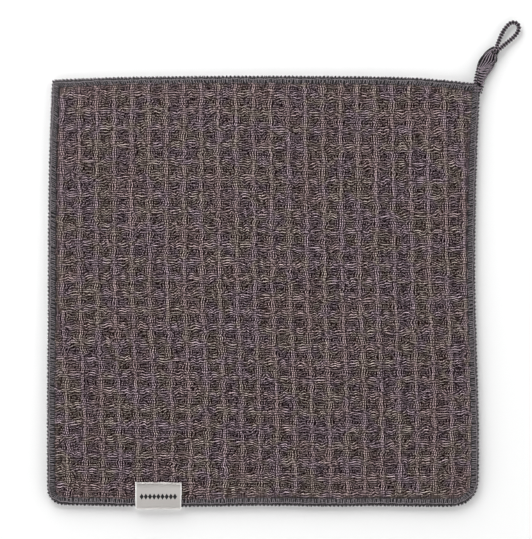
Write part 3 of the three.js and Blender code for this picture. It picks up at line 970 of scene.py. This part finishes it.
# Each link of a chain is two legs that run from its sides in under the next link.
def chainRoutes(route, width):
    sideways, lifted = sidesOf(route)
    travelled = travelOf(route)
    t = np.linspace(0, 1, chain["steps"])
    legs = []
    for link in range(int(travelled[-1] / chain["pitch"]) - 1):
        at = (link + chain["legLength"] * t) * chain["pitch"]
        place, across, up = (
            np.stack([np.interp(at, travelled, field[:, axis]) for axis in range(3)], axis=1)
            for field in (route, sideways, lifted)
        )
        for side in (-0.5, 0.5):
            reach = side * width * (1 - chain["closing"] * t)[:, None]
            legs.append(place + across * reach + up * (chain["arch"] * np.sin(math.pi * t))[:, None])
    return legs


def chainSizes():
    return np.outer(chain["taper"], [chain["halfWidth"], chain["halfHeight"]])


# A thread's height and its upper side give its painted shade: dark between the threads and down the sides.
# One thread is darker than the next, and shades are shares along a thread, as many as a chain's legs have
# steps.
def finishLoop(made, heights, shades=(1, 1)):
    piece, points, straight, owner = made
    level = ramp(points[:, 2], heights) * chance.uniform(*loop["tones"], owner[-1] + 1)[owner]
    t = straight[:, 2] / straight[:, 2].max()
    level = level * np.interp(t, np.linspace(0, 1, len(shades)), shades)
    paintedLight = level * (loop["sideTone"] + (1 - loop["sideTone"]) * np.clip(straight[:, 1], 0, 1))
    return finishPiece(piece, points, paintedLight)


def makeEye():
    route = smoothRoute(eyeRoute, 130)
    travelled = travelOf(route)
    # both ends lie over the waist and its threads
    over = ramp(np.minimum(travelled, travelled[-1] - travelled), chain["overWaistFrom"])
    route = np.column_stack([route, chain["height"] + chain["overWaist"] * ease(over)])
    core = finishLoop(makeThreads("loop_eye_core", [route], [chain["core"]], 10), loop["unlit"])
    legs = makeThreads("loop_eye", chainRoutes(route, chain["width"]), chainSizes(), 6)
    return [core, finishLoop(legs, (0.7, 1.8), chain["shades"])]


# The body of the shank, which its threads lie round, painted black as the shade between them
def makeShankBody():
    levels = np.linspace(shankSlices["y"][0], shankBody["top"], shankBody["steps"])
    left, right = shankSides(levels)
    middle = np.column_stack([(left + right) / 2, levels, np.full(len(levels), shankBody["z"])])
    halfWidth = (right - left) / 2 - shankBody["narrower"]
    sizes = np.column_stack([halfWidth, np.full(len(levels), shankBody["halfHeight"])])
    return finishLoop(makeThreads("loop_body", [middle], [sizes], 16), loop["unlit"])


def makeShankThreads():
    steps = 46
    routes = []
    # long threads that leave the chain, swell out round the upper half and meet at the waist
    for number in range(loop["longThreads"]):
        share = number / (loop["longThreads"] - 1)
        stray = loop["longStray"] * chance.normal(0, 1, 2).clip(-1.5, 1.5)
        places = [
            (0.1 + 0.3 * share, 151.5 + 1.5 * share),
            (0.02 + 0.68 * share, 155.5 + 1.2 * share),
            (share + stray[0] * share, 160.2),
            (share + stray[1] * share, 164.2),
            (0.08 + 0.84 * share, 167),
            (0.3 + 0.4 * share, 169),
        ]
        # one lies over the next
        routes += plyRoutes(shankRoute(places, steps, loop["longLift"] * math.sin(7 * number)), loopYarn)
    return finishLoop(makeThreads("loop_threads", routes, [loopYarn["ply"]] * 2, 5), (1.2, 2.5))


# The rungs, threads from the chain out over the right side, which part there and fill it
def makeRungs():
    routes = []
    for number in range(loop["rungs"]):
        y = loop["rungFrom"] + number * loop["rungPitch"]
        lean = loop["rungLean"] * (1 - number / (loop["rungs"] - 2))
        for aside in (0, loop["rungPitch"] / 2):
            out = y + aside
            places = [(0.28, y + lean), (0.6, y), (0.84, out - 0.6 * lean), (1.04, out - 0.8 * lean)]
            routes += plyRoutes(shankRoute(places, 18, 0.2), loopYarn)
    return finishLoop(makeThreads("loop_rungs", routes, [loopYarn["ply"]] * 2, 5), (1.2, 2.6))


# The chain up the left side, one up the middle of the foot and the short one at the foot of the right side
def makeChains():
    low, steps = shankSlices["y"][0], 60
    left = shankRoute([(0.16, low), (0.15, 144), (0.12, 150), (0.11, 155), (0.11, 159)], steps, 0.3)
    middle = shankRoute([(0.52, low), (0.5, 142), (0.42, 146)], steps, 0.1)
    right = shankRoute([(0.84, low), (0.84, 142), (0.86, 146.5)], steps, 0)
    width = chain["width"] * chain["shankShare"]
    routes = [leg for route in (left, middle, right) for leg in chainRoutes(route, width)]
    return finishLoop(makeThreads("loop_chains", routes, chainSizes(), 6), (1.0, 2.2), chain["shankShades"])


# The label's tape, from its sewn end underneath round the fold to its sewn end on top

def labelPath():
    outer = label["top"] / 2
    middle = outer - label["thickness"] / 2
    centreY = label["foldY"] + outer
    angles = np.linspace(0, math.pi, 9)
    turn = [(centreY - middle * math.sin(angle), outer - middle * math.cos(angle)) for angle in angles]
    low, high = label["thickness"] / 2, label["top"] - label["thickness"] / 2
    sewn = label["sewnUnder"] + label["thickness"] / 2
    back = [(y, low) for y in np.linspace(label["tipY"], centreY + 1, 6)]
    front = [
        (centreY + 1.5, high),
        (label["drawnIn"] - 1, high),
        (label["drawnIn"] + 1, high - 0.1),
        (label["tipY"] - label["sewnLength"] - 0.5, sewn + 0.08),
        (label["tipY"] - 1.5, sewn),
        (label["tipY"], sewn),
    ]
    return smoothRoute(back + turn + front, label["steps"])


# How far the label's upper edge lies above a straight one
def edgeWave(x):
    far, length = label["edgeWave"]
    return far * np.sin(x / length + 1)


def makeLabel():
    path = labelPath()
    across = round(label["width"] / label["stepAcross"])
    bm = bmesh.new()
    bmesh.ops.create_grid(bm, x_segments=across, y_segments=len(path) - 1, size=0.5)
    piece = newObject("label_tape", bm)
    flat = readPoints(piece)
    side, along = flat[:, 0] * 2, flat[:, 1] + 0.5
    x = side * label["width"] / 2
    mark = along * (len(path) - 1)
    y, z = (np.interp(mark, np.arange(len(path)), path[:, axis]) for axis in (0, 1))
    front = ramp(z, (label["top"] / 2, label["top"] - label["thickness"]))
    y = y - label["skew"] * side * front * ramp(y, (label["foldY"], label["foldY"] + label["skewFrom"]))
    y = y + front * edgeWave(x)
    far, length = label["sideWave"]
    x = x + far * np.sin(along * travelOf(path)[-1] / length) * side
    waves = sum(np.sin(x / across + y / up + start) for across, up, start in label["waves"])
    z = z + label["wave"] * front * waves
    writePoints(piece, np.column_stack([x + label["middle"], y, z]))
    writeShade(piece, "side", np.abs(side) * label["width"] / 2)
    solid = piece.modifiers.new("thickness", "SOLIDIFY")
    solid.thickness = label["thickness"] - label["waveRoom"]
    solid.offset = 0
    applyModifiers(piece)
    points = readPoints(piece)
    edge, soft = label["selvedge"], label["selvedgeRound"]
    beside = np.abs(points[:, 0] - label["middle"]) - (label["width"] / 2 - edge)
    bead = ramp(beside, (0, soft)) * ramp(beside, (edge, soft))
    normals = np.array([vert.normal for vert in piece.data.vertices])
    points = points + normals * (label["selvedgeRise"] * bead)[:, None]
    points[:, 2] = np.maximum(points[:, 2], 0)
    writePoints(piece, points * mm)
    return piece


labelStitch = {
    "pitch": 3.0,
    "length": 2.3,
    "inset": 0.9,
    "steps": 9,
    "stray": 0.1,
    "slope": 0.06,
    "lift": 0.16,
    "dive": 0.42,
    "plies": 2,
    "ply": 0.17,
    "spread": 0.13,
    "twist": 1.6,
}


def makeLabelStitches():
    count = int(label["width"] / labelStitch["pitch"])
    height = label["sewnUnder"] + label["thickness"] + labelStitch["lift"]
    t = np.linspace(-1, 1, labelStitch["steps"])
    routes = []
    for number in range(count):
        x = (number - (count - 1) / 2) * labelStitch["pitch"] + chance.normal(0, labelStitch["stray"])
        y = label["tipY"] - labelStitch["inset"] - label["skew"] * x / label["width"] * 2 + edgeWave(x)
        along = x + label["middle"] + labelStitch["length"] / 2 * t
        route = [along, y + labelStitch["slope"] * t, height - labelStitch["dive"] * abs(t) ** 3]
        routes += plyRoutes(np.stack(route, axis=1), labelStitch)
    piece, points, straight, _ = makeThreads("label_stitches", routes, [labelStitch["ply"]] * 2, 5)
    # painted light on the stitches' tops and painted shade on their undersides
    return finishPiece(piece, points, 0.5 + 0.5 * straight[:, 1])


# Setting up each piece

def settle(piece, material, nodes=()):
    piece.data.materials.clear()
    piece.data.materials.append(material)
    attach(piece, body)
    if nodes:
        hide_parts(*nodes)
    return piece


clothYarn = clothMaterial("waffle microfibre yarn", microfibre, 0.32, "Y")
clothGround = clothMaterial("waffle microfibre ground", microfibre, 0.1, "X")
# The second colour of each thread below is the dark of its painted shade.
overlockThread = threadMaterial("textured polyester overlock thread", "#a79fa4", "#08080a", 0.9)
loopThread = threadMaterial("textured polyester loop thread", "#bcadb8", "#050406", 0.9)
labelWeave = labelMaterial("satin woven polyester tape")
labelThread = threadMaterial("polyester sewing thread, off-white", "#cfccc8", "#9a9794", 0.4)

print("weaving the sheet")
waffleSheet = settle(makeSheet(), clothGround, ["cloth"])
print("laying the floats")
yarns = [layFloats(yarn, name) for yarn in (weftFloats, warpFloats) for name in yarn["pieces"]]
yarns.append(layCurls())
for piece in yarns:
    settle(piece, clothYarn)
print("sewing the overlock")
settle(makeOverlockBed(), overlockThread, ["edge_overlock"])
for piece in (makeOverlock(), makeRimCord()):
    settle(piece, overlockThread)
print("chaining the loop")
settle(makeShankBody(), loopThread, ["hanging_loop"])
for piece in (makeShankThreads(), makeRungs(), makeChains(), *makeEye()):
    settle(piece, loopThread)
print("folding the label")
labelTape = settle(makeLabel(), labelWeave, ["label"])
labelStitches = settle(makeLabelStitches(), labelThread)


# Floor, lights and camera

studio = {
    "transform": "Standard",
    "imageWidth": 532,
    "imageHeight": 539,
    "scale": 0.698,  # millimetres to a pixel of the photograph
    "originPixel": (263, 291),
    "lens": 100,
    "sensor": 36,
    "floor": "#ffffff",
    "floorHalf": 3000,
    "focus": 1.5,  # height at which that scale holds
    "zenith": 0.1,  # the sky's brightness overhead and at the horizon
    "horizon": 5.9,
    "bandFades": (0.13, 0.52),  # sines of the heights at which the bright band starts and ends to fade
    "keyPower": 28,
    "keySize": 1200,
    "keyPlace": (-620, 1320, 420),
}


def makeStudio():
    bm = bmesh.new()
    bmesh.ops.create_grid(bm, x_segments=1, y_segments=1, size=studio["floorHalf"] * mm)
    floor = newObject("floor", bm)
    material, shader = newMaterial("matt white table", 0.9, 0, 0.5)
    shader.inputs["Base Color"].default_value = colour(studio["floor"])
    floor.data.materials.append(material)

    world = bpy.data.worlds.new("studio")
    world.use_nodes = True
    way = addNode(world, "ShaderNodeTexCoord").outputs["Generated"]
    height = addNode(world, "ShaderNodeSeparateXYZ", None, {"Vector": way}).outputs["Z"]
    glow = addNode(world, "ShaderNodeMapRange",
                   {"From Min": studio["bandFades"][0], "From Max": studio["bandFades"][1],
                    "To Min": studio["horizon"], "To Max": studio["zenith"]},
                   {"Value": height})
    background = world.node_tree.nodes["Background"]
    background.inputs["Color"].default_value = (1, 1, 1, 1)
    world.node_tree.links.new(glow.outputs["Result"], background.inputs["Strength"])
    bpy.context.scene.world = world
    bpy.context.scene.view_settings.view_transform = studio["transform"]

    key = bpy.data.objects.new("key", bpy.data.lights.new("key", "AREA"))
    key.data.size = studio["keySize"] * mm
    key.data.energy = studio["keyPower"]
    key.location = Vector(studio["keyPlace"]) * mm
    key.rotation_euler = (-key.location).to_track_quat("-Z", "Y").to_euler()
    bpy.context.scene.collection.objects.link(key)

    camera = bpy.data.objects.new("camera", bpy.data.cameras.new("camera"))
    camera.data.lens = studio["lens"]
    camera.data.sensor_width = studio["sensor"]
    across, down = studio["originPixel"]
    scale = studio["scale"] * mm
    distance = studio["imageHeight"] * scale / studio["sensor"] * studio["lens"]
    camera.location = (
        (studio["imageWidth"] / 2 - across) * scale,
        (down - studio["imageHeight"] / 2) * scale,
        distance + studio["focus"] * mm,
    )
    bpy.context.scene.collection.objects.link(camera)
    bpy.context.scene.camera = camera


print("setting up the studio")
makeStudio()
